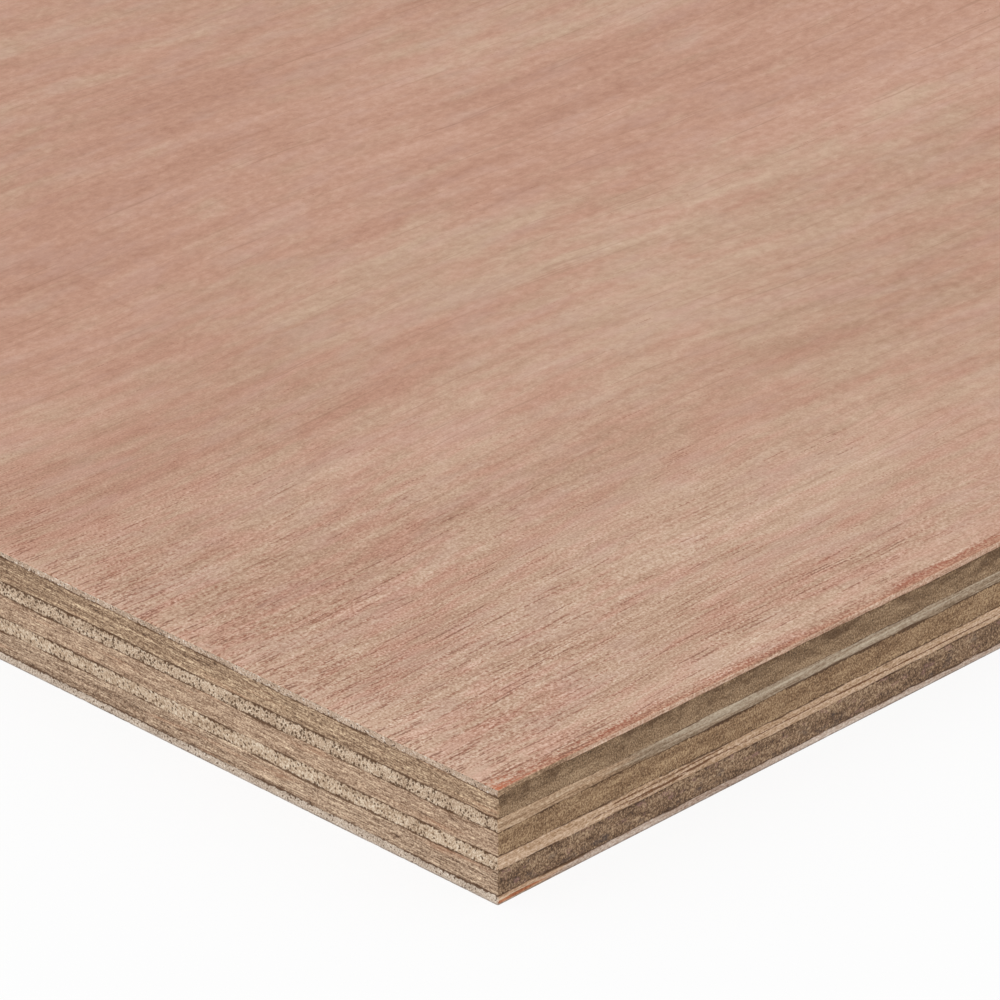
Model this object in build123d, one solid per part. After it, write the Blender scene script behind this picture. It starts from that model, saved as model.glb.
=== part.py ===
from build123d import *
import os

# Plywood sheet of seven veneers, glued crosswise and sawn to a standard size.
# Millimetres. X runs along the length, which is the grain of the face, Y across the width, and Z up.
# The origin is the middle of the underside.

# The sheet as sawn
sheet_length = 2440.0
sheet_width = 1220.0

# Veneer thicknesses. The face is thin because it is sanded, and the back is sanded once, lightly.
face_veneer_thickness = 1.1
crossband_thickness = 3.7
long_band_thickness = 2.2
back_veneer_thickness = 1.4

# Sandpaper takes this much off the sharp outer arrises of the face and the back
arris_ease = 0.2

# The lay-up from the underside to the face. The grain turns a right angle from each veneer to the next.
lay_up = [
    ("back_veneer", back_veneer_thickness),
    ("lower_crossband", crossband_thickness),
    ("lower_long_band", long_band_thickness),
    ("core_crossband", crossband_thickness),
    ("upper_long_band", long_band_thickness),
    ("upper_crossband", crossband_thickness),
    ("face_veneer", face_veneer_thickness),
]


def sawn_veneer(thickness, seat_height):
    """One veneer of the full sheet, lying on a glue line at seat_height."""
    outline = Plane.XY.offset(seat_height) * Rectangle(sheet_length, sheet_width)
    return extrude(outline, amount=thickness)


def eased(outer_face):
    """The veneer that outer_face belongs to, with the arrises round that face eased."""
    return chamfer(outer_face.edges(), length=arris_ease)


def pressed_sheet():
    """The seven veneers by name, each seated on the one below it."""
    veneers = {}
    seat_height = 0
    for name, thickness in lay_up:
        veneers[name] = sawn_veneer(thickness, seat_height)
        seat_height += thickness
    lowest_face = veneers["back_veneer"].faces().sort_by(Axis.Z)[0]
    highest_face = veneers["face_veneer"].faces().sort_by(Axis.Z)[-1]
    veneers["back_veneer"] = eased(lowest_face)
    veneers["face_veneer"] = eased(highest_face)
    return veneers


os.makedirs("parts", exist_ok=True)
for name, veneer in pressed_sheet().items():
    veneer.label = name
    export_step(veneer, f"parts/{name}.step")
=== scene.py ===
from math import atan2, cos, pi, radians, sin

import bpy
import numpy as np
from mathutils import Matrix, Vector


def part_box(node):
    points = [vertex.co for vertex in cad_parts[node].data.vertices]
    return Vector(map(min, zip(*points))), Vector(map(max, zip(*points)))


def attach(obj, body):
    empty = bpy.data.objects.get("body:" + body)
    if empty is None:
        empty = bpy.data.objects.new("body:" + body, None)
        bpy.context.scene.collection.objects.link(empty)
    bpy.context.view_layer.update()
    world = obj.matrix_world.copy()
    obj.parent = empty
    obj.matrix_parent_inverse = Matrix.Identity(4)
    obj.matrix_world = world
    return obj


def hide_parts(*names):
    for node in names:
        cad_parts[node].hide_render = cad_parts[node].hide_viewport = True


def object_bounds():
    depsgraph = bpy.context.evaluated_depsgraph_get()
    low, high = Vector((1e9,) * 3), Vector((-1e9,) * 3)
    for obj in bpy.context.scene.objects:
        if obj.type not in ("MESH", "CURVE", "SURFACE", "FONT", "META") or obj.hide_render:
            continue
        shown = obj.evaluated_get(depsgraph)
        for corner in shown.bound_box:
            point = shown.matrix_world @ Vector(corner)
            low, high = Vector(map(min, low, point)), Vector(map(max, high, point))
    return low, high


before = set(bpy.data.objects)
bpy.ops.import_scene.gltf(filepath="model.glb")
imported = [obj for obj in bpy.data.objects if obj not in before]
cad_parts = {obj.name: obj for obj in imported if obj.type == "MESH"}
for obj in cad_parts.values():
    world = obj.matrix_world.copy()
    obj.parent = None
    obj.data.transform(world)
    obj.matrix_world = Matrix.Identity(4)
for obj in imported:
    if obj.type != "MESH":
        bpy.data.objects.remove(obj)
cad_low, cad_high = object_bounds()
MM = 0.001

# Plywood sheet of seven veneers. The grain runs along X in the face, the back and the two pale long bands,
# and along Y in the three brown crossbands. The photographed corner is the one at low X and low Y.
# Lengths are millimetres until a mesh or a shader takes them.
HALF_LENGTH = cad_high.x / MM
HALF_WIDTH = cad_high.y / MM
VENEERS = ["back_veneer", "lower_crossband", "lower_long_band", "core_crossband",
           "upper_long_band", "upper_crossband", "face_veneer"]
TOP = len(VENEERS)
# Heights of the underside, the six glue lines and the face
SEATS = np.array([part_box(name)[0].z / MM for name in VENEERS] + [cad_high.z / MM])

# How far each level lies above or below its even height: along the short and the long edge, near the
# photographed corner and far from it. The press squeezed the veneers unevenly.
RISE_ON_SHORT_EDGE = np.array([
    [0.0, 0.00, 0.25, 0.30, 0.28, 0.25, 0.00, 0.0],
    [0.0, 0.02, -0.25, -0.20, -0.20, -0.05, -0.05, 0.0]])
RISE_ON_LONG_EDGE = np.array([
    [0.0, 0.10, 0.28, 0.35, 0.38, 0.30, 0.60, 0.0],
    [0.0, -0.30, -0.05, -0.10, 0.20, -0.25, 0.12, 0.0]])
# How far the waves of each level reach
SWAY = [0.0, 0.14, 0.14, 0.16, 0.16, 0.26, 0.16, 0.0]
# Within about this distance of the corner a level comes to its near rise
SHORT_EDGE_REACH = 14.0
LONG_EDGE_REACH = 22.0

# Half the usual width of the dark film at each glue line, on the short and on the long edges
FILM_ON_SHORT_EDGE = np.array([0.0, 0.10, 0.06, 0.08, 0.10, 0.09, 0.07, 0.0])
FILM_ON_LONG_EDGE = np.array([0.0, 0.11, 0.11, 0.09, 0.21, 0.00, 0.00, 0.0])
# Where the lower long band has split on the long edges
SPLIT_HEIGHT = 6.05
SPLIT_START = 19.0

# Spacing of the mesh along the edges: closest at the corner, close along the photographed stretch, then wide.
# The rows of a wall are ROW_STEP apart, and inside the rims every THINNING-th place goes on.
ARRIS_STEP = 0.10
NEAR_STEP = 0.30
NEAR_REACH = 112.0
FAR_CORNER_STEP = 1.2
WIDE_STEP = 7.0
GROWTH = 0.035
ROW_STEP = 0.22
THINNING = 4

# Arrises: what the saw and the sandpaper left. The back chipped less than the face.
ARRIS_RADIUS = 0.14
CORNER_RADIUS = 0.30
CHIPPING_OF_BACK = 0.3
# The middle of a quarter arc lies this share of its radius in from both sides
ARC_MIDDLE = 0.293
# Distances from an outer arris at which its wall has rows, and from the outline at which a face has rings
ARRIS_ROWS = np.array([0.26, 0.12, 0.05])
OUTER_RINGS = [0.06, 0.14, 0.28, 0.5, 0.9, 1.6, 3.0]
HIDDEN_RINGS = [0.5, 2.0]
THINNING_RINGS = [5.0, 9.0]


def lattice(i, j, seed):
    """A repeatable draw from -1 to 1 at each knot of a lattice: the fraction of a large multiple of a sine of
    the knot's two numbers and the seed."""
    spin = np.sin(i * 127.1 + j * 311.7 + seed * 74.7) * 43758.5453
    return 2 * (spin - np.floor(spin)) - 1


def rough(seed, along, up, step_along, step_up):
    """Smooth random values from -1 to 1: the draws at the four knots round a place, blended by 3t² - 2t³."""
    a, b = along / step_along, up / step_up
    i, j = np.floor(a), np.floor(b)
    t, u = a - i, b - j
    t, u = t * t * (3 - 2 * t), u * u * (3 - 2 * u)
    low = lattice(i, j, seed) * (1 - t) + lattice(i + 1, j, seed) * t
    high = lattice(i, j + 1, seed) * (1 - t) + lattice(i + 1, j + 1, seed) * t
    return low * (1 - u) + high * u


def graded(half):
    """Places from -half to half. Their spacing grows from ARRIS_STEP to NEAR_STEP, stays there over NEAR_REACH,
    grows with the distance beyond that, and shrinks again towards the far end. They are read off the running
    sum of one over the spacing, at equal parts of its total."""
    t = np.linspace(-half, half, 60001)
    start, end = t + half, half - t
    spacing = NEAR_STEP + GROWTH * np.clip(start - NEAR_REACH, 0, None)
    spacing = np.minimum(spacing, FAR_CORNER_STEP + GROWTH * end)
    spacing = np.minimum(spacing, WIDE_STEP)
    spacing = np.minimum(spacing, ARRIS_STEP + 0.25 * np.minimum(start, end))
    total = np.concatenate([[0], np.cumsum(1 / spacing[1:])]) * (t[1] - t[0])
    count = THINNING ** 2 * int(np.ceil(total[-1] / THINNING ** 2))
    return np.interp(np.linspace(0, total[-1], count + 1), total, t)


def outline(along_x, along_y):
    """The rectangle as one closed ring, anticlockwise from above, and the outward direction at each place: both
    parts are set at the four corners."""
    nx, ny = len(along_x) - 1, len(along_y) - 1
    x = np.concatenate([along_x[:-1], np.full(ny, along_x[-1]), along_x[:0:-1], np.full(ny, along_x[0])])
    y = np.concatenate([np.full(nx, along_y[0]), along_y[:-1], np.full(nx, along_y[-1]), along_y[:0:-1]])
    out_x = np.sign(x) * (np.abs(x) >= along_x[-1])
    out_y = np.sign(y) * (np.abs(y) >= along_y[-1])
    return x, y, out_x, out_y


ALONG_X, ALONG_Y = graded(HALF_LENGTH), graded(HALF_WIDTH)
RIM_X, RIM_Y, OUT_X, OUT_Y = outline(ALONG_X, ALONG_Y)
RIM_COUNT = len(RIM_X)


def level_height(level, x, y):
    """Height of a level: its even height, plus the rise of the short and of the long edge, blended by how near
    a place is to each, plus waves of two sizes and fine jags. The underside and the face stay even."""
    if level in (0, TOP):
        return np.full_like(x, SEATS[level])
    from_short, from_long = x + HALF_LENGTH, y + HALF_WIDTH
    toward_long = from_short / (from_short + from_long + 1.5)
    near_short, near_long = np.exp(-from_long / SHORT_EDGE_REACH), np.exp(-from_short / LONG_EDGE_REACH)
    near, far = RISE_ON_SHORT_EDGE[:, level]
    rise = (far + (near - far) * near_short) * (1 - toward_long)
    near, far = RISE_ON_LONG_EDGE[:, level]
    rise = rise + (far + (near - far) * near_long) * toward_long
    waves = SWAY[level] * rough(level, x, y, 24, 26) + 0.07 * rough(level + 10, x, y, 9, 8)
    jags = 0.035 * rough(level + 20, x, y, 1.7, 1.5)
    return SEATS[level] + rise + waves + jags


def arris_wear(seed, along, end_grain, chipping):
    """Radius of a worn arris: an even part, a slow change, and chips where a random value passes a limit. The
    chips are short where the saw cut through the grain and long where it ran along it, and they all grow with
    the chipping."""
    slow = 0.6 + 0.4 * (1 + rough(seed, along, 0 * along, 25, 1))
    short_chips = 0.9 * np.clip(rough(seed + 1, along, 0 * along, 0.7, 1) - 0.45, 0, None)
    long_chips = 0.35 * np.clip(rough(seed + 1, along, 0 * along, 4.5, 1) - 0.45, 0, None)
    return ARRIS_RADIUS * slow + chipping * np.where(end_grain, short_chips, long_chips)


def corner_wear(height):
    """Radius of a worn upright corner at each height: an even part, a change by veneer, and chips."""
    slow = 1 + 0.5 * rough(350, height, 0 * height, 2.4, 1)
    return CORNER_RADIUS * slow + 1.2 * np.clip(rough(351, height, 0 * height, 0.8, 1) - 0.25, 0, None)


def rounded(distance, radius):
    """How far a rounded arris has drawn back at a distance from it: the gap between a square and its arc."""
    t = np.clip(1 - distance / radius, 0, 1)
    return radius * np.where(distance > 0, 1 - np.sqrt(1 - 0.999 * t * t), ARC_MIDDLE)


def sawn_depth(level, seed, along, height, share, end_grain):
    """How deep a veneer's sawn surface lies on one edge: the saw's slow drift, the grooves that open at its
    glue lines, and its own relief, which is fuzz across the grain and torn fibres along it."""
    thickness = SEATS[level + 1] - SEATS[level]
    drift = 0.05 * (1 + rough(seed, along, height, 90, 9))
    groove = 0.10 * (1 + 0.8 * rough(seed + 1, along, height, 2.5, 0.8))
    from_lower = share * thickness if level > 0 else np.full_like(share, 9)
    from_upper = (1 - share) * thickness if level < TOP - 1 else np.full_like(share, 9)
    near_glue = np.exp(-np.minimum(from_lower, from_upper) / 0.13)
    fuzz = 0.05 * (1 + rough(seed + 2, along, height, 0.7, 0.7))
    fuzz = fuzz + 0.03 * (1 + rough(seed + 3, along, height, 2.2, 1.4))
    fibres = 0.035 * (1 + rough(seed + 4, along, height, 6, 0.42))
    torn = 0.55 * np.clip(rough(seed + 5, along, height, 8, 0.6) - 0.62, 0, None)
    own = fuzz if end_grain else fibres + torn
    return drift + groove * near_glue + own * np.sqrt(np.clip(4 * share * (1 - share), 0, 1))


def film_width(level, x, y):
    """Half the width of the dark film at a glue line: its usual width on that edge, wider, narrower and broken
    along the edge."""
    on_short = np.abs(x) > HALF_LENGTH - 1
    usual = np.where(on_short, FILM_ON_SHORT_EDGE[level], FILM_ON_LONG_EDGE[level])
    return usual * (1 + 1.2 * rough(level + 60, x, y, 5, 4))


def split_distance(x, z):
    """Distance from the split in the lower long band. It starts some way from the corner as three cracks, one
    over another, and the middle one runs on and wanders along the whole long edge."""
    from_short = x + HALF_LENGTH
    wander = 0.22 * rough(80, x, 0 * x, 14, 1) + 0.05 * rough(81, x, 0 * x, 2.5, 1)
    main = np.abs(z - SPLIT_HEIGHT - wander) + np.clip((SPLIT_START - from_short) / 4, 0, 1)
    upper = np.abs(z - SPLIT_HEIGHT - 0.75 - 0.3 * wander) + np.clip((np.abs(from_short - 34) - 11) / 2, 0, 1)
    lower = np.abs(z - SPLIT_HEIGHT + 0.30 - 1.6 * wander) + np.clip((np.abs(from_short - 34) - 8) / 2, 0, 1)
    return np.minimum(main, np.minimum(upper, lower))


def row_shares(level):
    """Shares of a veneer's thickness at which its wall has rows: even, and closer at an outer arris."""
    thickness = SEATS[level + 1] - SEATS[level]
    shares = np.linspace(0, 1, int(np.ceil(thickness / ROW_STEP)) + 1)
    if level not in (0, TOP - 1):
        return shares
    close = 1 - ARRIS_ROWS / thickness
    shares = np.concatenate([shares[shares < close[0] - 0.06], close, [1]])
    return shares if level == TOP - 1 else 1 - shares[::-1]


def veneer_wall(level):
    """The sawn edge of a veneer all round: one ring of places for each row, drawn back from the outline by the
    sawn depth of the long or the short edge and rounded at the sheet's corners and outer arrises. Returns the
    rings, how deep each lies, and the radius of the arris."""
    grain_along_x = "crossband" not in VENEERS[level]
    low, high = level_height(level, RIM_X, RIM_Y), level_height(level + 1, RIM_X, RIM_Y)
    from_corner_x, from_corner_y = HALF_LENGTH - np.abs(RIM_X), HALF_WIDTH - np.abs(RIM_Y)
    on_short = OUT_X != 0
    chipping = CHIPPING_OF_BACK if level == 0 else 1
    wear = arris_wear(300 + level, np.where(on_short, RIM_Y, RIM_X), on_short, chipping)
    # Opposite edges get seeds of their own
    seed_long, seed_short = 100 + 40 * (OUT_Y > 0), 200 + 40 * (OUT_X > 0)
    rings, depths = [], []
    for share in row_shares(level):
        z = low + share * (high - low)
        shares = np.full_like(z, share)
        long_edge = sawn_depth(level, seed_long, RIM_X, z, shares, not grain_along_x)
        short_edge = sawn_depth(level, seed_short, RIM_Y, z, shares, grain_along_x)
        long_edge = long_edge + rounded(from_corner_x, corner_wear(z))
        short_edge = short_edge + rounded(from_corner_y, corner_wear(z))
        drawn, fall = 0 * z, 0 * z
        if level == TOP - 1:
            drawn, fall = rounded(high - z, wear), ARC_MIDDLE * wear * (share == 1)
        if level == 0:
            drawn, fall = rounded(z - low, wear), -ARC_MIDDLE * wear * (share == 0)
        depth_x, depth_y = (short_edge + drawn) * np.abs(OUT_X), (long_edge + drawn) * np.abs(OUT_Y)
        rings.append(np.stack([RIM_X - OUT_X * depth_x, RIM_Y - OUT_Y * depth_y, z - fall], 1))
        depths.append(np.maximum(depth_x, depth_y))
    return rings, depths, wear


def ring_quads(outer, inner):
    """Quads between two closed rings that start at these vertices, the second inside or above the first."""
    i = np.arange(RIM_COUNT)
    j = (i + 1) % RIM_COUNT
    return np.stack([outer + i, outer + j, inner + j, inner + i], 1)


def thinning_triangles(outer, inner, count):
    """Triangles between a closed ring of count vertices and one inside it with every THINNING-th of them: each
    outer side meets the nearer inner vertex, and one triangle fills the middle of each inner side."""
    i, k = np.arange(count), np.arange(count // THINNING)
    nearer = (i + THINNING // 2) // THINNING % len(k)
    fans = np.stack([outer + i, outer + (i + 1) % count, inner + nearer], 1)
    middles = np.stack([outer + k * THINNING + THINNING // 2, inner + (k + 1) % len(k), inner + k], 1)
    return np.concatenate([fans, middles])


def veneer_side(level, first_ring, start, rim_depth, wear):
    """The upper or lower face of a veneer, from its wall's ring inwards: rings that follow the outline, two
    that thin it out, and a grid over the rest. Returns its vertices, quads and triangles, wound to face up."""
    places, quads, triangles = [], [], []
    face = 1 if level == TOP else -1 if level == 0 else 0

    def ring_at(inset, step):
        """The outline, drawn in by inset and by what is left of the wall's depth, and let down at an arris."""
        x, y = RIM_X[::step], RIM_Y[::step]
        drawn = inset + rim_depth[::step] * np.exp(-inset / 2)
        x, y = x * (1 - drawn / HALF_LENGTH), y * (1 - drawn / HALF_WIDTH)
        fall = face * rounded(np.full_like(x, inset), wear[::step]) * (inset < 1)
        return np.stack([x, y, level_height(level, x, y) - fall], 1)

    previous = first_ring
    for inset in (OUTER_RINGS if face else HIDDEN_RINGS):
        places.append(ring_at(inset, 1))
        quads.append(ring_quads(previous, start))
        previous, start = start, start + RIM_COUNT
    step, count = 1, RIM_COUNT
    for inset in THINNING_RINGS:
        step *= THINNING
        places.append(ring_at(inset, step))
        triangles.append(thinning_triangles(previous, start, count))
        count //= THINNING
        previous, start = start, start + count
    # The grid's own lines are the thinned ones, drawn in like the last ring
    x = ALONG_X[::step] * (1 - THINNING_RINGS[-1] / HALF_LENGTH)
    y = ALONG_Y[::step] * (1 - THINNING_RINGS[-1] / HALF_WIDTH)
    nx, ny = len(x) - 1, len(y) - 1
    number = np.zeros((ny + 1, nx + 1), int)
    number[1:-1, 1:-1] = start + np.arange((nx - 1) * (ny - 1)).reshape(ny - 1, nx - 1)
    rim = previous + np.arange(count)
    number[0, :-1], number[:-1, -1] = rim[:nx], rim[nx:nx + ny]
    number[-1, :0:-1], number[:0:-1, 0] = rim[nx + ny:2 * nx + ny], rim[2 * nx + ny:]
    inner_x, inner_y = np.meshgrid(x[1:-1], y[1:-1])
    inner_x, inner_y = inner_x.ravel(), inner_y.ravel()
    places.append(np.stack([inner_x, inner_y, level_height(level, inner_x, inner_y)], 1))
    cells = [number[:-1, :-1], number[:-1, 1:], number[1:, 1:], number[1:, :-1]]
    quads.append(np.stack([c.ravel() for c in cells], 1))
    return np.concatenate(places), np.concatenate(quads), np.concatenate(triangles)


def veneer(level):
    """One veneer as a closed mesh: its sawn wall, its lower and its upper face. Each vertex also carries its
    distances from the nearest glue film and from the split, which the materials draw."""
    thickness = SEATS[level + 1] - SEATS[level]
    rings, depths, wear = veneer_wall(level)
    places, quads, triangles = [np.concatenate(rings)], [], []
    for row in range(len(rings) - 1):
        quads.append(ring_quads(row * RIM_COUNT, (row + 1) * RIM_COUNT))
    start = start_of_sides = len(rings) * RIM_COUNT
    for side, first_ring, turn in ((0, 0, -1), (1, start - RIM_COUNT, 1)):
        more, side_quads, side_triangles = veneer_side(level + side, first_ring, start, depths[-side], wear)
        places.append(more)
        quads.append(side_quads[:, ::turn])
        triangles.append(side_triangles[:, ::turn])
        start += len(more)
    places, quads, triangles = np.concatenate(places), np.concatenate(quads), np.concatenate(triangles)
    x, y, z = places[:start_of_sides].T
    share = np.repeat(row_shares(level), RIM_COUNT)
    no_film = np.full_like(share, thickness)
    from_lower = share * thickness - film_width(level, x, y) if level > 0 else no_film
    from_upper = (1 - share) * thickness - film_width(level + 1, x, y) if level < TOP - 1 else no_film
    from_film = np.full(len(places), thickness)
    from_film[:start_of_sides] = np.minimum(from_lower, from_upper)
    from_split = np.full(len(places), thickness)
    if VENEERS[level] == "lower_long_band":
        from_split[:start_of_sides] = split_distance(x, z)

    mesh = bpy.data.meshes.new(VENEERS[level])
    mesh.from_pydata((places * MM).tolist(), [], quads.tolist() + triangles.tolist())
    for name, values in (("from_film_mm", from_film), ("from_split_mm", from_split)):
        mesh.attributes.new(name, "FLOAT", "POINT").data.foreach_set("value", values.astype(np.float32))
    mesh.shade_smooth()
    mesh.set_sharp_from_angle(angle=radians(50))
    piece = bpy.data.objects.new(VENEERS[level] + "_sawn", mesh)
    bpy.context.scene.collection.objects.link(piece)
    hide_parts(VENEERS[level])
    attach(piece, "root")
    return piece


def linear(hex_colour):
    """An sRGB hex colour as the linear RGBA that the shaders take."""
    srgb = np.array([int(hex_colour[i:i + 2], 16) for i in (1, 3, 5)]) / 255
    rgb = np.where(srgb <= 0.04045, srgb / 12.92, ((srgb + 0.055) / 1.055) ** 2.4)
    return (*rgb, 1.0)


def add(tree, kind, inputs=None, stops=(), **settings):
    """Adds one node: settings are its options, inputs its sockets by name or number, each a link or a value,
    and stops the places and hex colours of a ramp."""
    node = tree.nodes.new(kind)
    for name, value in settings.items():
        setattr(node, name, value)
    for key, value in (inputs or {}).items():
        if isinstance(value, bpy.types.NodeSocket):
            tree.links.new(value, node.inputs[key])
        else:
            node.inputs[key].default_value = value
    for number, (place, hex_colour) in enumerate(stops):
        mark = node.color_ramp.elements[number] if number < 2 else node.color_ramp.elements.new(place)
        mark.position, mark.color = place, linear(hex_colour)
    return node


def weighed(tree, parts, start=0.0):
    """A number plus some figures or distances, each times its weight."""
    total = start
    for one, weight in parts:
        total = add(tree, "ShaderNodeMath", {0: one, 1: weight, 2: total}, operation="MULTIPLY_ADD").outputs[0]
    return total


def apart(tree, value, middle):
    """How far a value lies from a middle one, to either side."""
    shifted = add(tree, "ShaderNodeMath", {0: value, 1: middle}, operation="SUBTRACT").outputs[0]
    return add(tree, "ShaderNodeMath", {0: shifted}, operation="ABSOLUTE").outputs[0]


def sawn_wood(name, grain_along_x, shift):
    """A new material with its tree, and the place in the wood in millimetres: x along the grain, y across it
    and z through the veneer, bent so that the grain wanders, and moved so that no two veneers are alike."""
    material = bpy.data.materials.new(name)
    material.use_nodes = True
    tree = material.node_tree
    tree.nodes.clear()
    place = add(tree, "ShaderNodeTexCoord").outputs["Object"]
    turned = add(tree, "ShaderNodeMapping", {
        "Vector": place, "Scale": (1 / MM,) * 3, "Rotation": (0, 0, 0 if grain_along_x else -pi / 2),
        "Location": (shift * 377, shift * 191, shift * 53)}).outputs[0]
    far_view = add(tree, "ShaderNodeVectorMath", {
        0: turned, 1: (1 / 210, 1 / 160, 1 / 60)}, operation="MULTIPLY").outputs[0]
    bend = add(tree, "ShaderNodeTexNoise", {"Vector": far_view, "Scale": 1.0, "Detail": 1.0}).outputs["Color"]
    bend = add(tree, "ShaderNodeVectorMath", {0: bend, 1: (0.5, 0.5, 0.5)}, operation="SUBTRACT").outputs[0]
    bend = add(tree, "ShaderNodeVectorMath", {0: bend, 1: (0, 26, 3)}, operation="MULTIPLY").outputs[0]
    wood = add(tree, "ShaderNodeVectorMath", {0: turned, 1: bend}, operation="ADD").outputs[0]
    return material, tree, wood


def figure(tree, wood, size, detail=2.0):
    """A random figure in the wood, about this long, wide and high in millimetres: from 0 to 1, round 0.5."""
    unit = add(tree, "ShaderNodeVectorMath", {0: wood, 1: tuple(1 / s for s in size)}, operation="MULTIPLY")
    return add(tree, "ShaderNodeTexNoise", {
        "Vector": unit.outputs[0], "Scale": 1.0, "Detail": detail, "Roughness": 0.62}).outputs[0]


def vessels(tree, wood, cell):
    """Distance in millimetres, across the grain, from the middle of a vessel. Each cell of this length, width
    and height has one, and its ends taper. The saw opens it to a dash along the grain, a dot across it."""
    unit = add(tree, "ShaderNodeVectorMath", {0: wood, 1: tuple(1 / s for s in cell)}, operation="MULTIPLY")
    nearest = add(tree, "ShaderNodeTexVoronoi", {"Vector": unit.outputs[0], "Scale": 1.0}).outputs["Distance"]
    return weighed(tree, [(nearest, cell[1])])


def end_pores(tree, wood, film, grit, cell):
    """Distance in millimetres from an open pore of the end grain, ragged by the grit. Along a glue film the
    pores are larger, so there the distance is up to 0.09 less."""
    larger = add(tree, "ShaderNodeMapRange", {
        "Value": film, "From Min": 0.4, "From Max": 0.9, "To Min": -0.09, "To Max": 0.0}).outputs[0]
    return weighed(tree, [(vessels(tree, wood, cell), 1.0), (grit, 0.20), (larger, 1.0)])


def toned(tree, figures, stops):
    """The colour on a ramp at the sum of some figures, each with its weight, round 0.5."""
    tone = weighed(tree, figures, 0.5 - sum(weight for _, weight in figures) / 2)
    return add(tree, "ShaderNodeValToRGB", {"Fac": tone}, stops).outputs["Color"]


def tinted(tree, colour, tints):
    """A colour with tints over it. Each tint sets in at one value of its figure, is full at the next, and then
    covers the colour by its strength."""
    for one, onset, full, tint, strength in tints:
        amount = add(tree, "ShaderNodeMapRange", {
            "Value": one, "From Min": onset, "From Max": full, "To Max": strength},
            interpolation_type="SMOOTHSTEP").outputs[0]
        tint = tint if isinstance(tint, bpy.types.NodeSocket) else linear(tint)
        colour = add(tree, "ShaderNodeMix", {0: amount, 6: colour, 7: tint}, data_type="RGBA").outputs[2]
    return colour


def glue_film(tree, wood):
    """Distance in millimetres from the dark film at a glue line, jagged by the fibres on both sides of it."""
    distance = add(tree, "ShaderNodeAttribute", attribute_name="from_film_mm").outputs["Fac"]
    return weighed(tree, [(distance, 1.0), (figure(tree, wood, (6, 0.7, 0.7), 3.0), 0.95)])


def edge_distance(tree, axis, half):
    """Distance in millimetres from the nearer of the two edges that cut an axis this far from the middle."""
    place = add(tree, "ShaderNodeTexCoord").outputs["Object"]
    part = add(tree, "ShaderNodeSeparateXYZ", {0: place}).outputs[axis]
    return weighed(tree, [(apart(tree, part, 0.0), -1 / MM)], half)


def height_above_floor(tree):
    """Height in millimetres above the underside of the sheet."""
    place = add(tree, "ShaderNodeTexCoord").outputs["Object"]
    return weighed(tree, [(add(tree, "ShaderNodeSeparateXYZ", {0: place}).outputs["Z"], 1 / MM)])


def bare_wood(tree, colour, relief, depth, roughness):
    """Unlacquered wood: matt, with bump from a figure that stands for this depth in millimetres. The IOR is
    that of cellulose, and the weak specular level that of fibres, which scatter their gloss away."""
    bump = add(tree, "ShaderNodeBump", {"Height": relief, "Distance": depth * MM}).outputs[0]
    return add(tree, "ShaderNodeBsdfPrincipled", {
        "Base Color": colour, "Roughness": roughness, "IOR": 1.53, "Specular IOR Level": 0.3,
        "Normal": bump}).outputs[0]


def by_facing(tree, axis, facing, otherwise):
    """One shader where the surface faces along an axis, another elsewhere. Short edges face X, flats face Z."""
    normal = add(tree, "ShaderNodeNewGeometry").outputs["Normal"]
    part = add(tree, "ShaderNodeSeparateXYZ", {0: normal}).outputs[axis]
    share = add(tree, "ShaderNodeMapRange", {"Value": apart(tree, part, 0.0), "From Min": 0.6, "From Max": 0.8})
    return add(tree, "ShaderNodeMixShader", {0: share.outputs[0], 1: otherwise, 2: facing}).outputs[0]


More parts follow.
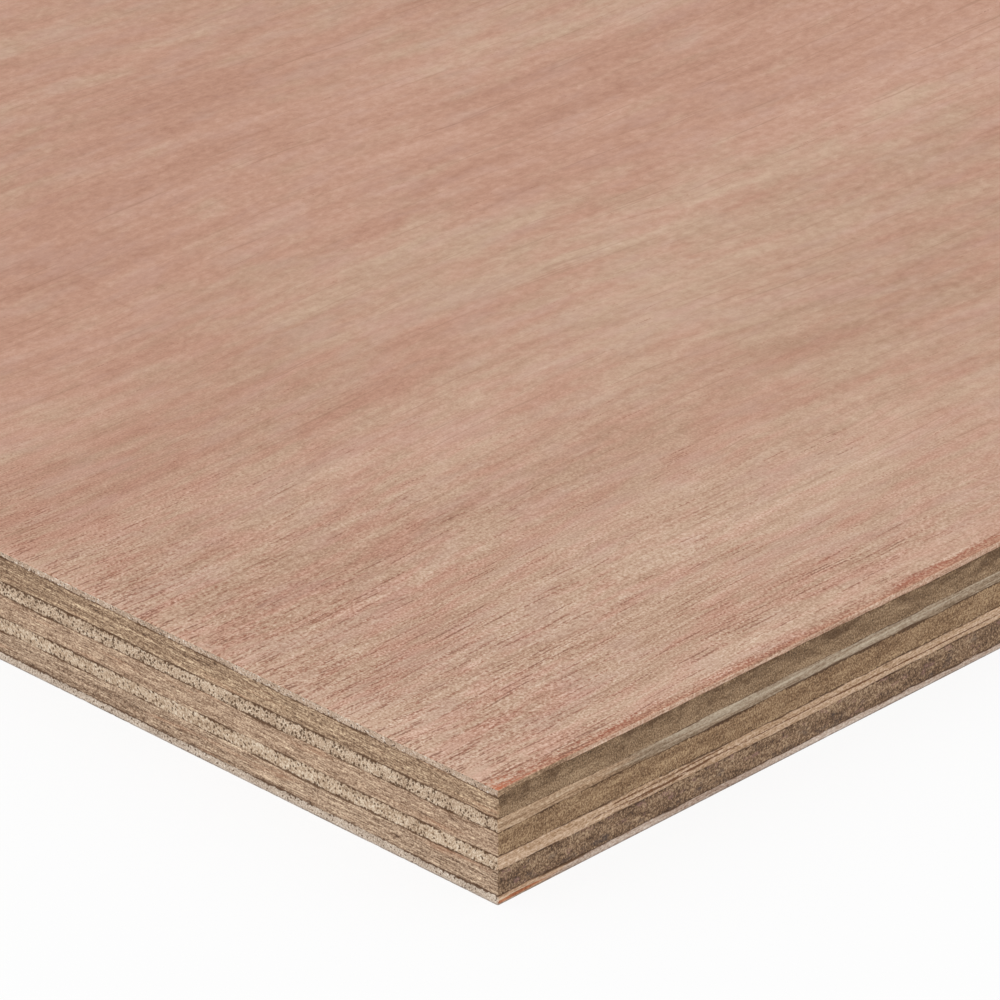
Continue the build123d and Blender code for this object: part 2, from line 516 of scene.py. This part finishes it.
# A fibre is 0.02 to 0.03 mm wide, and a pixel covers 0.14 mm at the corner. So all three woods are drawn with
# bundles of fibres 0.25 to 0.5 mm wide, and with pores wider than real ones where those would not show.
def gaboon_face():
    """Gaboon, peeled from the log and sanded with a fine belt. Peeling gives the eye a broad cloudy figure,
    salmon where the wood is dark and tan where it is light. Sanding gives a matt nap with short fuzz. The knife
    opens the vessels, 0.2 mm wide, some 15 mm long and 0.55 mm apart, to red dashes with a brown middle. The
    nap is crisp and streaky towards the corners, softer and redder away from them. A pale strip and a red
    margin follow the long arrises."""
    material, tree, wood = sawn_wood("gaboon_rotary_cut_sanded", True, 0)
    from_short = edge_distance(tree, "X", HALF_LENGTH)
    from_long = edge_distance(tree, "Y", HALF_WIDTH)
    from_corner = weighed(tree, [(from_short, 1.0), (from_long, 1.0)])
    film = glue_film(tree, wood)

    # Small swings of the grain, a few millimetres across
    swing = weighed(tree, [(figure(tree, wood, (20, 6, 6), 1.0), 1.8)])
    swing = add(tree, "ShaderNodeCombineXYZ", {"Y": swing}).outputs[0]
    wood = add(tree, "ShaderNodeVectorMath", {0: wood, 1: swing}, operation="ADD").outputs[0]

    # The nap: fuzz 0.4 mm long and bundles of fibres 10 mm long, and soft clots instead where it is flattened
    flattened = add(tree, "ShaderNodeMapRange", {
        "Value": from_corner, "From Min": 20.0, "From Max": 230.0, "To Max": 0.88},
        interpolation_type="SMOOTHSTEP").outputs[0]
    fuzz = figure(tree, wood, (0.40, 0.34, 0.34), 1.0)
    fibres = figure(tree, wood, (10, 0.5, 0.5), 3.0)
    crisp = weighed(tree, [(fibres, 0.6), (fuzz, 1.0)], -0.3)
    soft = weighed(tree, [(figure(tree, wood, (1.6, 1.2, 1.2), 2.0), 0.32)], 0.34)
    nap = add(tree, "ShaderNodeMix", {0: flattened, 2: crisp, 3: soft}, data_type="FLOAT").outputs[0]

    # The peeled figure: clouds some 50 mm wide and 220 mm long, bands of 4 mm, and flecks
    moved = add(tree, "ShaderNodeVectorMath", {0: wood, 1: (131, 67, 29)}, operation="ADD").outputs[0]
    clouds = figure(tree, moved, (220, 50, 50), 2.0)
    bands = figure(tree, wood, (30, 4.0, 4.0), 1.0)
    coarse = weighed(tree, [(bands, 0.22), (clouds, 0.42)], 0.172)
    parts = [(nap, 1.09), (figure(tree, wood, (5.5, 2.6, 2.6), 1.0), 0.15), (coarse, 1.0)]
    salmon = toned(tree, parts, [
        (0.12, "#804F36"), (0.95, "#E9CEB9"), (0.36, "#A87A64"), (0.5, "#B98D77"), (0.64, "#C79F8B")])
    tan = toned(tree, parts, [
        (0.12, "#7D563E"), (0.95, "#E2CDB9"), (0.36, "#A58067"), (0.5, "#B6947C"), (0.64, "#C5A68E")])
    red = toned(tree, parts, [
        (0.12, "#5F3320"), (0.95, "#DDB193"), (0.36, "#875640"), (0.5, "#9D6950"), (0.64, "#B38066")])

    # Tan lies in streaks near the corners and in patches elsewhere, mostly where the wood is light
    streaks = weighed(tree, [(figure(tree, wood, (13, 2.4, 2.4), 2.0), 2.1)], -0.55)
    stains = add(tree, "ShaderNodeMix", {
        0: flattened, 2: streaks, 3: figure(tree, wood, (13, 5.5, 5.5), 2.0)}, data_type="FLOAT").outputs[0]
    redder = add(tree, "ShaderNodeMapRange", {
        "Value": from_corner, "From Min": 20.0, "From Max": 420.0, "To Max": 0.12}).outputs[0]
    patches = weighed(tree, [
        (redder, 1.0), (flattened, 0.08), (figure(tree, wood, (200, 70, 70), 2.0), 1.0), (stains, 0.85),
        (coarse, -1.1)])
    # Both arrises have a pale strip, where the nap stands up
    mottle = figure(tree, wood, (14, 3, 3), 2.0)
    near_short = weighed(tree, [(from_long, 0.05), (from_short, 1.0)])
    near_long = weighed(tree, [(mottle, 4.0), (apart(tree, from_long, 4.6), 1.0)])
    top = tinted(tree, salmon, [
        (patches, 0.66, 0.24, tan, 1.0),
        (figure(tree, moved, (12, 5, 5), 2.0), 0.46, 0.70, "#BC9A8E", 0.22),
        (figure(tree, wood, (30, 0.5, 0.5), 1.0), 0.60, 0.78, "#92694F", 0.4),
        (near_short, 13.0, 1.5, "#E6C8B0", 0.2),
        (near_long, 5.6, 3.2, "#E6C8B0", 0.12)])

    # Opened vessels: fine dashes, a few long red lines, and short strokes where the saw left the short edge
    dashes = weighed(tree, [
        (vessels(tree, wood, (15, 0.55, 0.55)), 1.0), (fuzz, 0.36), (flattened, 0.19),
        (figure(tree, wood, (40, 9, 9), 1.0), 0.25)])
    long_lines = weighed(tree, [(vessels(tree, wood, (60, 1.2, 1.2)), 1.0), (fuzz, 0.5), (flattened, 0.14)])
    strokes = weighed(tree, [(vessels(tree, wood, (5, 0.50, 0.50)), 1.0), (fuzz, 0.40), (from_short, 0.007)])
    # The margin beside the long arris is red in streaks, 1 to 3 mm wide. A thin red line wanders through it,
    # and an orange flame lies at the corner.
    margin = weighed(tree, [(from_long, 1.0), (fuzz, 2.2), (fibres, 3.5), (mottle, 3.0)])
    wander = weighed(tree, [(figure(tree, wood, (30, 9, 9), 1.0), 2.6)])
    line = weighed(tree, [(apart(tree, from_long, wander), 1.0), (fuzz, 2.6), (mottle, 4.0)])
    flame = weighed(tree, [(from_long, 0.26), (from_short, 0.07), (fuzz, 1.0), (fibres, 3.0)])
    top = tinted(tree, top, [
        (margin, 6.9, 4.7, red, 0.85),
        (dashes, 0.51, 0.42, "#965A40", 0.58),
        (dashes, 0.44, 0.35, "#694E3B", 0.56),
        (long_lines, 0.38, 0.28, "#975A40", 0.75),
        (strokes, 0.46, 0.34, "#965A40", 0.58),
        (strokes, 0.38, 0.27, "#694E3B", 0.56),
        (line, 3.65, 2.85, "#96492A", 0.5),
        (flame, 2.65, 2.05, "#BC6238", 0.65)])

    # On the short edge the saw cut through the fibres: pale grit with pores
    grit = figure(tree, wood, (4, 0.26, 0.26), 1.0)
    cut_short = toned(tree, [(grit, 1.0), (bands, 0.5)], [
        (0.12, "#5A4433"), (0.92, "#EEE0D1"), (0.36, "#977F6A"), (0.5, "#AD9580"), (0.64, "#C2AC98")])
    cut_short = tinted(tree, cut_short, [
        (figure(tree, wood, (2, 0.7, 0.4), 2.0), 0.56, 0.70, "#EFE7DC", 0.6),
        (end_pores(tree, wood, film, grit, (9, 0.62, 0.5)), 0.28, 0.19, "#412C19", 0.85),
        (film, 0.56, 0.36, "#4A2C0E", 0.85)])
    # On the long edge it ran along them. The cut is as dark as the veneer below it where the saw came out.
    lines = figure(tree, wood, (14, 0.5, 0.26), 3.0)
    parts = [(lines, 0.8), (fuzz, 0.9), (bands, 0.4)]
    cut_long = toned(tree, parts, [
        (0.15, "#7C563D"), (0.9, "#E6CFB9"), (0.38, "#A9826A"), (0.5, "#BC977F"), (0.64, "#CDAD96")])
    cut_dark = toned(tree, parts, [
        (0.15, "#3F2C1B"), (0.9, "#D0B799"), (0.38, "#755B42"), (0.5, "#8D7155"), (0.64, "#A98B6C")])
    saw_out = weighed(tree, [(from_short, 1.0), (mottle, 16.0)])
    cut_long = tinted(tree, cut_long, [(saw_out, 27.0, 17.0, cut_dark, 0.95)])

    edges = by_facing(
        tree, "X", bare_wood(tree, cut_short, grit, 0.1, 0.75), bare_wood(tree, cut_long, lines, 0.05, 0.7))
    shader = by_facing(tree, "Z", bare_wood(tree, top, fibres, 0.06, 0.6), edges)
    add(tree, "ShaderNodeOutputMaterial", {"Surface": shader})
    return material


def eucalyptus_crossband(name, level, along_stops, across_stops, layering, lean, blotches):
    """Eucalyptus, peeled and sawn. Its dense interlocked grain tears, so the short edges, cut along the grain,
    give the eye loose strands some 3 mm long in layers, and the long edges, cut across it, a dark felt with
    clouds and blotches. Its vessels are 0.1 to 0.2 mm wide and 0.7 to 1.3 mm apart. Lean is how much lighter
    the cut gets from the foot of the veneer to its top. The dark blotches gather on the darker side."""
    material, tree, wood = sawn_wood(name, False, level)
    film = glue_film(tree, wood)
    rise = add(tree, "ShaderNodeMapRange", {
        "Value": height_above_floor(tree), "From Min": SEATS[level], "From Max": SEATS[level + 1]}).outputs[0]

    strands = figure(tree, wood, (3.0, 0.26, 0.20), 2.0)
    loose = figure(tree, wood, (0.40, 0.24, 0.22), 1.0)
    layers = figure(tree, wood, (45, 9, 0.75), 2.0)
    along = toned(tree, [(strands, 1.15), (loose, 1.2), (layers, layering), (rise, 0.6 * lean)], along_stops)
    along = tinted(tree, along, [
        (figure(tree, wood, (18, 3, 1.6), 2.0), 0.56, 0.76, "#AE7F62", 0.4),
        (vessels(tree, wood, (9, 1.3, 0.8)), 0.15, 0.07, "#54402E", 0.6),
        (film, 0.58, 0.38, "#4A2C0E", 0.85)])

    felt = figure(tree, wood, (5, 0.26, 0.28), 2.0)
    clouds = figure(tree, wood, (30, 6.0, 1.1), 3.0)
    across = toned(tree, [(felt, 1.5), (clouds, 0.75), (rise, lean)], across_stops)
    for size, *blotch in blotches:
        gathered = weighed(tree, [(figure(tree, wood, (30, *size), 2.0), 1.0), (rise, -lean)], lean / 2)
        across = tinted(tree, across, [(gathered, *blotch)])
    across = tinted(tree, across, [
        (vessels(tree, wood, (9, 0.7, 0.7)), 0.12, 0.05, "#3B2B1C", 0.6),
        (film, 0.56, 0.36, "#3F2510", 0.85)])

    shader = by_facing(
        tree, "X", bare_wood(tree, along, strands, 0.14, 0.75), bare_wood(tree, across, felt, 0.14, 0.8))
    add(tree, "ShaderNodeOutputMaterial", {"Surface": shader})
    return material


def poplar_band(name, level, end_stops, along_stops, pore_reach, contrast, stains):
    """Poplar, peeled and sawn. It is pale and soft. The short edges, cut across the grain, give the eye a
    chalky grit full of pores, largest along the glue films. The long edges, cut along it, give smooth long
    lines. Its real pores are under 0.1 mm wide, and are drawn 0.3 mm wide and 0.6 mm apart to show. Stains lie
    by the distance from the short edge ("end") or along a seam half a millimetre up. The tint by height is
    painted shade along the foot of both sawn edges, where the sheet stands on the floor."""
    material, tree, wood = sawn_wood(name, True, level)
    film = glue_film(tree, wood)
    height = height_above_floor(tree)
    patchy = weighed(tree, [
        (edge_distance(tree, "X", HALF_LENGTH), 1.0), (figure(tree, wood, (10, 4, 0.7), 2.0), 20.0)])
    seam = weighed(tree, [(patchy, 1.0), (apart(tree, height, 0.5), 50.0)])
    measures = {"end": patchy, "height": height, "seam": seam}

    grit = figure(tree, wood, (4, 0.25, 0.28), 1.0)
    end = toned(tree, [(grit, 1.2), (figure(tree, wood, (4, 4, 1.6), 1.0), 0.5)], end_stops)
    end = tinted(tree, end, [
        (end_pores(tree, wood, film, grit, (9, 0.60, 0.68)), pore_reach, pore_reach - 0.09, "#4C341C", 0.88),
        (film, 0.58, 0.38, "#4A2C0E", 0.9)])

    lines = figure(tree, wood, (22, 0.5, 0.24), 3.0)
    nap = figure(tree, wood, (0.5, 0.3, 0.24), 1.0)
    streaks = figure(tree, wood, (26, 6, 0.9), 2.0)
    along = toned(tree, [(lines, contrast), (nap, 0.85), (streaks, 0.8 * contrast)], along_stops)
    # Tints by "end" and "seam" are stains; the tint by "height" is painted shade at the foot of the sheet
    for by, onset, full, stops, strength in stains:
        stain = toned(tree, [(lines, 0.6), (nap, 0.7), (streaks, 1.5)], stops)
        along = tinted(tree, along, [(measures[by], onset, full, stain, strength)])
        # The painted shade at the foot goes on the end grain too
        if by == "height":
            end = tinted(tree, end, [(height, onset, full, stain, strength)])
    # The split shows only as colour: the dark brown along it is painted shade in the open crack
    split = add(tree, "ShaderNodeAttribute", attribute_name="from_split_mm").outputs["Fac"]
    torn = weighed(tree, [(split, 1.0), (lines, 0.25), (nap, 0.12)])
    along = tinted(tree, along, [
        (torn, 0.36, 0.27, "#5F3714", 0.9),
        (film, 0.56, 0.36, "#4A2C0E", 0.9)])

    # The flat shows on the back of the sheet: the broad peeled figure and fine lines under a lightly sanded nap
    clouds = figure(tree, wood, (260, 45, 45), 3.0)
    flat = toned(tree, [(clouds, 0.45), (lines, 0.5), (nap, 0.5)], along_stops)

    edges = by_facing(
        tree, "X", bare_wood(tree, end, grit, 0.12, 0.75), bare_wood(tree, along, lines, 0.06, 0.7))
    shader = by_facing(tree, "Z", bare_wood(tree, flat, lines, 0.06, 0.65), edges)
    add(tree, "ShaderNodeOutputMaterial", {"Surface": shader})
    return material


def white_floor():
    """A white table top: matt, with most of its shade held back for the eye so that the page stays white. It
    can't be seen from below."""
    material = bpy.data.materials.new("white_table_top")
    material.use_nodes = True
    tree = material.node_tree
    tree.nodes.clear()
    path = add(tree, "ShaderNodeLightPath")
    board = add(tree, "ShaderNodeBsdfDiffuse", {"Color": linear("#F4F4F4")})
    glow = add(tree, "ShaderNodeEmission", {"Color": (1, 1, 1, 1), "Strength": 1.0})
    share = add(tree, "ShaderNodeMath", {0: path.outputs["Is Camera Ray"], 1: 0.78}, operation="MULTIPLY")
    seen = add(tree, "ShaderNodeMixShader", {0: share.outputs[0], 1: board.outputs[0], 2: glow.outputs[0]})
    clear = add(tree, "ShaderNodeBsdfTransparent")
    back = add(tree, "ShaderNodeNewGeometry").outputs["Backfacing"]
    both = add(tree, "ShaderNodeMixShader", {0: back, 1: seen.outputs[0], 2: clear.outputs[0]})
    add(tree, "ShaderNodeOutputMaterial", {"Surface": both.outputs[0]})
    return material


def table_top():
    """The floor: a flat square 80 metres wide, at the underside of the sheet."""
    reach = 40.0
    mesh = bpy.data.meshes.new("table_top")
    corners = [(-reach, -reach, 0), (reach, -reach, 0), (reach, reach, 0), (-reach, reach, 0)]
    mesh.from_pydata(corners, [], [(0, 1, 2, 3)])
    floor = bpy.data.objects.new("table_top", mesh)
    bpy.context.scene.collection.objects.link(floor)
    floor.data.materials.append(white_floor())


def studio_light():
    """Even light from all round, white to the eye, and one broad soft lamp high on the left of the corner."""
    world = bpy.data.worlds.new("studio")
    bpy.context.scene.world = world
    world.use_nodes = True
    tree = world.node_tree
    tree.nodes.clear()
    path = add(tree, "ShaderNodeLightPath")
    seen = path.outputs["Is Camera Ray"]
    for ray in ("Is Glossy Ray", "Is Transmission Ray"):
        seen = add(tree, "ShaderNodeMath", {0: seen, 1: path.outputs[ray]}, operation="MAXIMUM").outputs[0]
    strength = add(tree, "ShaderNodeMapRange", {"Value": seen, "To Min": 0.62, "To Max": 1.0})
    back = add(tree, "ShaderNodeBackground", {"Color": (1, 1, 1, 1), "Strength": strength.outputs[0]})
    add(tree, "ShaderNodeOutputWorld", {"Surface": back.outputs[0]})

    lamp = bpy.data.lights.new("soft_key", "SUN")
    lamp.energy = 1.9
    lamp.angle = radians(35)
    key = bpy.data.objects.new("soft_key", lamp)
    toward_x, toward_y, toward_z = 0.40, 0.20, -0.42
    tilt, turn = atan2(np.hypot(toward_x, toward_y), -toward_z), atan2(toward_y, toward_x)
    key.rotation_euler = (tilt, 0, turn - pi / 2)
    bpy.context.scene.collection.objects.link(key)


def camera():
    """The photograph's view: a long lens that looks down at the corner, which shows at a known pixel."""
    focal_px, width_px = 7490.0, 1000.0
    corner_px = np.array([498.0, 791.2])
    depth = 1015.0
    pitch, yaw = radians(27.05), radians(44.5)
    forward = np.array([cos(yaw) * cos(pitch), sin(yaw) * cos(pitch), -sin(pitch)])
    right = np.array([sin(yaw), -cos(yaw), 0])
    up = np.cross(right, forward)
    corner = np.array([-HALF_LENGTH, -HALF_WIDTH, SEATS[-1]])
    off = (corner_px - width_px / 2) / focal_px
    place = corner - depth * (forward + off[0] * right - off[1] * up)
    data = bpy.data.cameras.new("photo_view")
    data.lens = focal_px / width_px * data.sensor_width
    data.clip_start, data.clip_end = 0.05, 100.0
    view = bpy.data.objects.new("photo_view", data)
    view.location = (place * MM).tolist()
    view.rotation_euler = (pi / 2 - pitch, 0, yaw - pi / 2)
    bpy.context.scene.collection.objects.link(view)
    bpy.context.scene.camera = view


# Colours of the cuts, from their darkest to their lightest part: places on a ramp, the two ends first
UPPER_BROWN = [(0.08, "#46301F"), (1.0, "#E4CDAB"), (0.36, "#7C614A"), (0.5, "#937960"), (0.66, "#AF9378")]
CORE_BROWN = [(0.08, "#553C2A"), (1.0, "#E8D2B2"), (0.36, "#8B6F58"), (0.5, "#A28770"), (0.66, "#BA9E85")]
LOWER_BROWN = [(0.08, "#4A3423"), (1.0, "#E8D2B4"), (0.36, "#846A54"), (0.5, "#9C846E"), (0.66, "#B79D85")]
UPPER_FELT = [(0.08, "#3B2A19"), (1.0, "#BFA584"), (0.36, "#6D543B"), (0.5, "#84694E"), (0.66, "#9D8265")]
CORE_FELT = [(0.08, "#452F1B"), (1.0, "#C7A881"), (0.36, "#77593E"), (0.5, "#8E7153"), (0.66, "#A88B6B")]
LOWER_FELT = [(0.08, "#2C1D15"), (1.0, "#CBB092"), (0.36, "#5F4733"), (0.5, "#7D6149"), (0.66, "#A1866A")]
UPPER_POPLAR_END = [(0.12, "#5E4835"), (0.9, "#E4D6C2"), (0.36, "#9A8169"), (0.5, "#B39B83"), (0.66, "#CAB69F")]
LOWER_POPLAR_END = [(0.12, "#6A523C"), (0.9, "#E4D6C2"), (0.36, "#9F876E"), (0.5, "#B69E86"), (0.66, "#CAB7A0")]
BACK_END = [(0.12, "#705E4E"), (0.9, "#E6DBCF"), (0.36, "#A19080"), (0.5, "#B6A594"), (0.66, "#C9BAAA")]
UPPER_POPLAR = [(0.12, "#5A4028"), (0.9, "#D6BFA2"), (0.36, "#8C6F52"), (0.5, "#A58669"), (0.66, "#BDA083")]
LOWER_POPLAR = [(0.12, "#6B4A30"), (0.9, "#ECD7BC"), (0.36, "#A38362"), (0.5, "#BA9A7E"), (0.66, "#D0B499")]
BACK_POPLAR = [(0.12, "#7A5D4B"), (0.9, "#E4D6CA"), (0.36, "#A58C7B"), (0.5, "#B8A393"), (0.66, "#CBBAAC")]
UPPER_GREY = [(0.12, "#5A4530"), (0.9, "#BCAF9A"), (0.36, "#7E6B55"), (0.5, "#93806B"), (0.66, "#A69783")]
BACK_CREAM = [(0.12, "#8A6444"), (0.9, "#E9D1B5"), (0.36, "#B49070"), (0.5, "#C7A584"), (0.66, "#D8BD9D")]
BACK_SEAM = [(0.12, "#5F2F14"), (0.9, "#D9A27C"), (0.36, "#8E4A25"), (0.5, "#A65D34"), (0.66, "#BE7A50")]
# Painted shade: the dark grey foot of the back veneer's sawn edges, next to the floor
PAINTED_FOOT_SHADE = [(0.12, "#4A423D"), (0.9, "#BDB5AE"), (0.36, "#6F665F"), (0.5, "#857B74"), (0.66, "#9A9089")]
FINISHES = {
    "face_veneer": ("face_wood", gaboon_face()),
    "upper_crossband": ("crossband_wood", eucalyptus_crossband(
        "upper_eucalyptus_sawn", 5, UPPER_BROWN, UPPER_FELT, 0.6, -0.16, [
            ((3.2, 1.4), 0.51, 0.72, "#4A3018", 0.6)])),
    "upper_long_band": ("long_band_wood", poplar_band(
        "upper_poplar_sawn", 4, UPPER_POPLAR_END, UPPER_POPLAR, 0.35, 0.9, [
            ("end", 31.0, 42.0, UPPER_GREY, 0.8)])),
    "core_crossband": ("crossband_wood", eucalyptus_crossband(
        "core_eucalyptus_sawn", 3, CORE_BROWN, CORE_FELT, 0.42, -0.04, [
            ((6.0, 2.0), 0.62, 0.80, "#6A4E36", 0.5)])),
    "lower_long_band": ("long_band_wood", poplar_band(
        "lower_poplar_sawn", 2, LOWER_POPLAR_END, LOWER_POPLAR, 0.32, 0.5, [])),
    "lower_crossband": ("crossband_wood", eucalyptus_crossband(
        "lower_eucalyptus_sawn", 1, LOWER_BROWN, LOWER_FELT, 0.65, 0.04, [
            ((3.4, 1.8), 0.53, 0.76, "#463C3A", 0.6), ((2.6, 1.5), 0.42, 0.26, "#94706A", 0.5)])),
    "back_veneer": ("back_wood", poplar_band(
        "back_poplar_sanded", 0, BACK_END, BACK_POPLAR, 0.28, 0.8, [
            ("end", 24.0, 18.0, BACK_CREAM, 0.8), ("seam", 27.0, 20.0, BACK_SEAM, 0.85),
            # The tint by height is painted shade at the foot of the sheet, not a stain
            ("height", 0.34, 0.14, PAINTED_FOOT_SHADE, 0.7)])),
}
for level, name in enumerate(VENEERS):
    slot_name, finish = FINISHES[name]
    piece = veneer(level)
    piece.data.materials.append(finish)

table_top()
studio_light()
camera()
bpy.context.scene.view_settings.view_transform = "Standard"
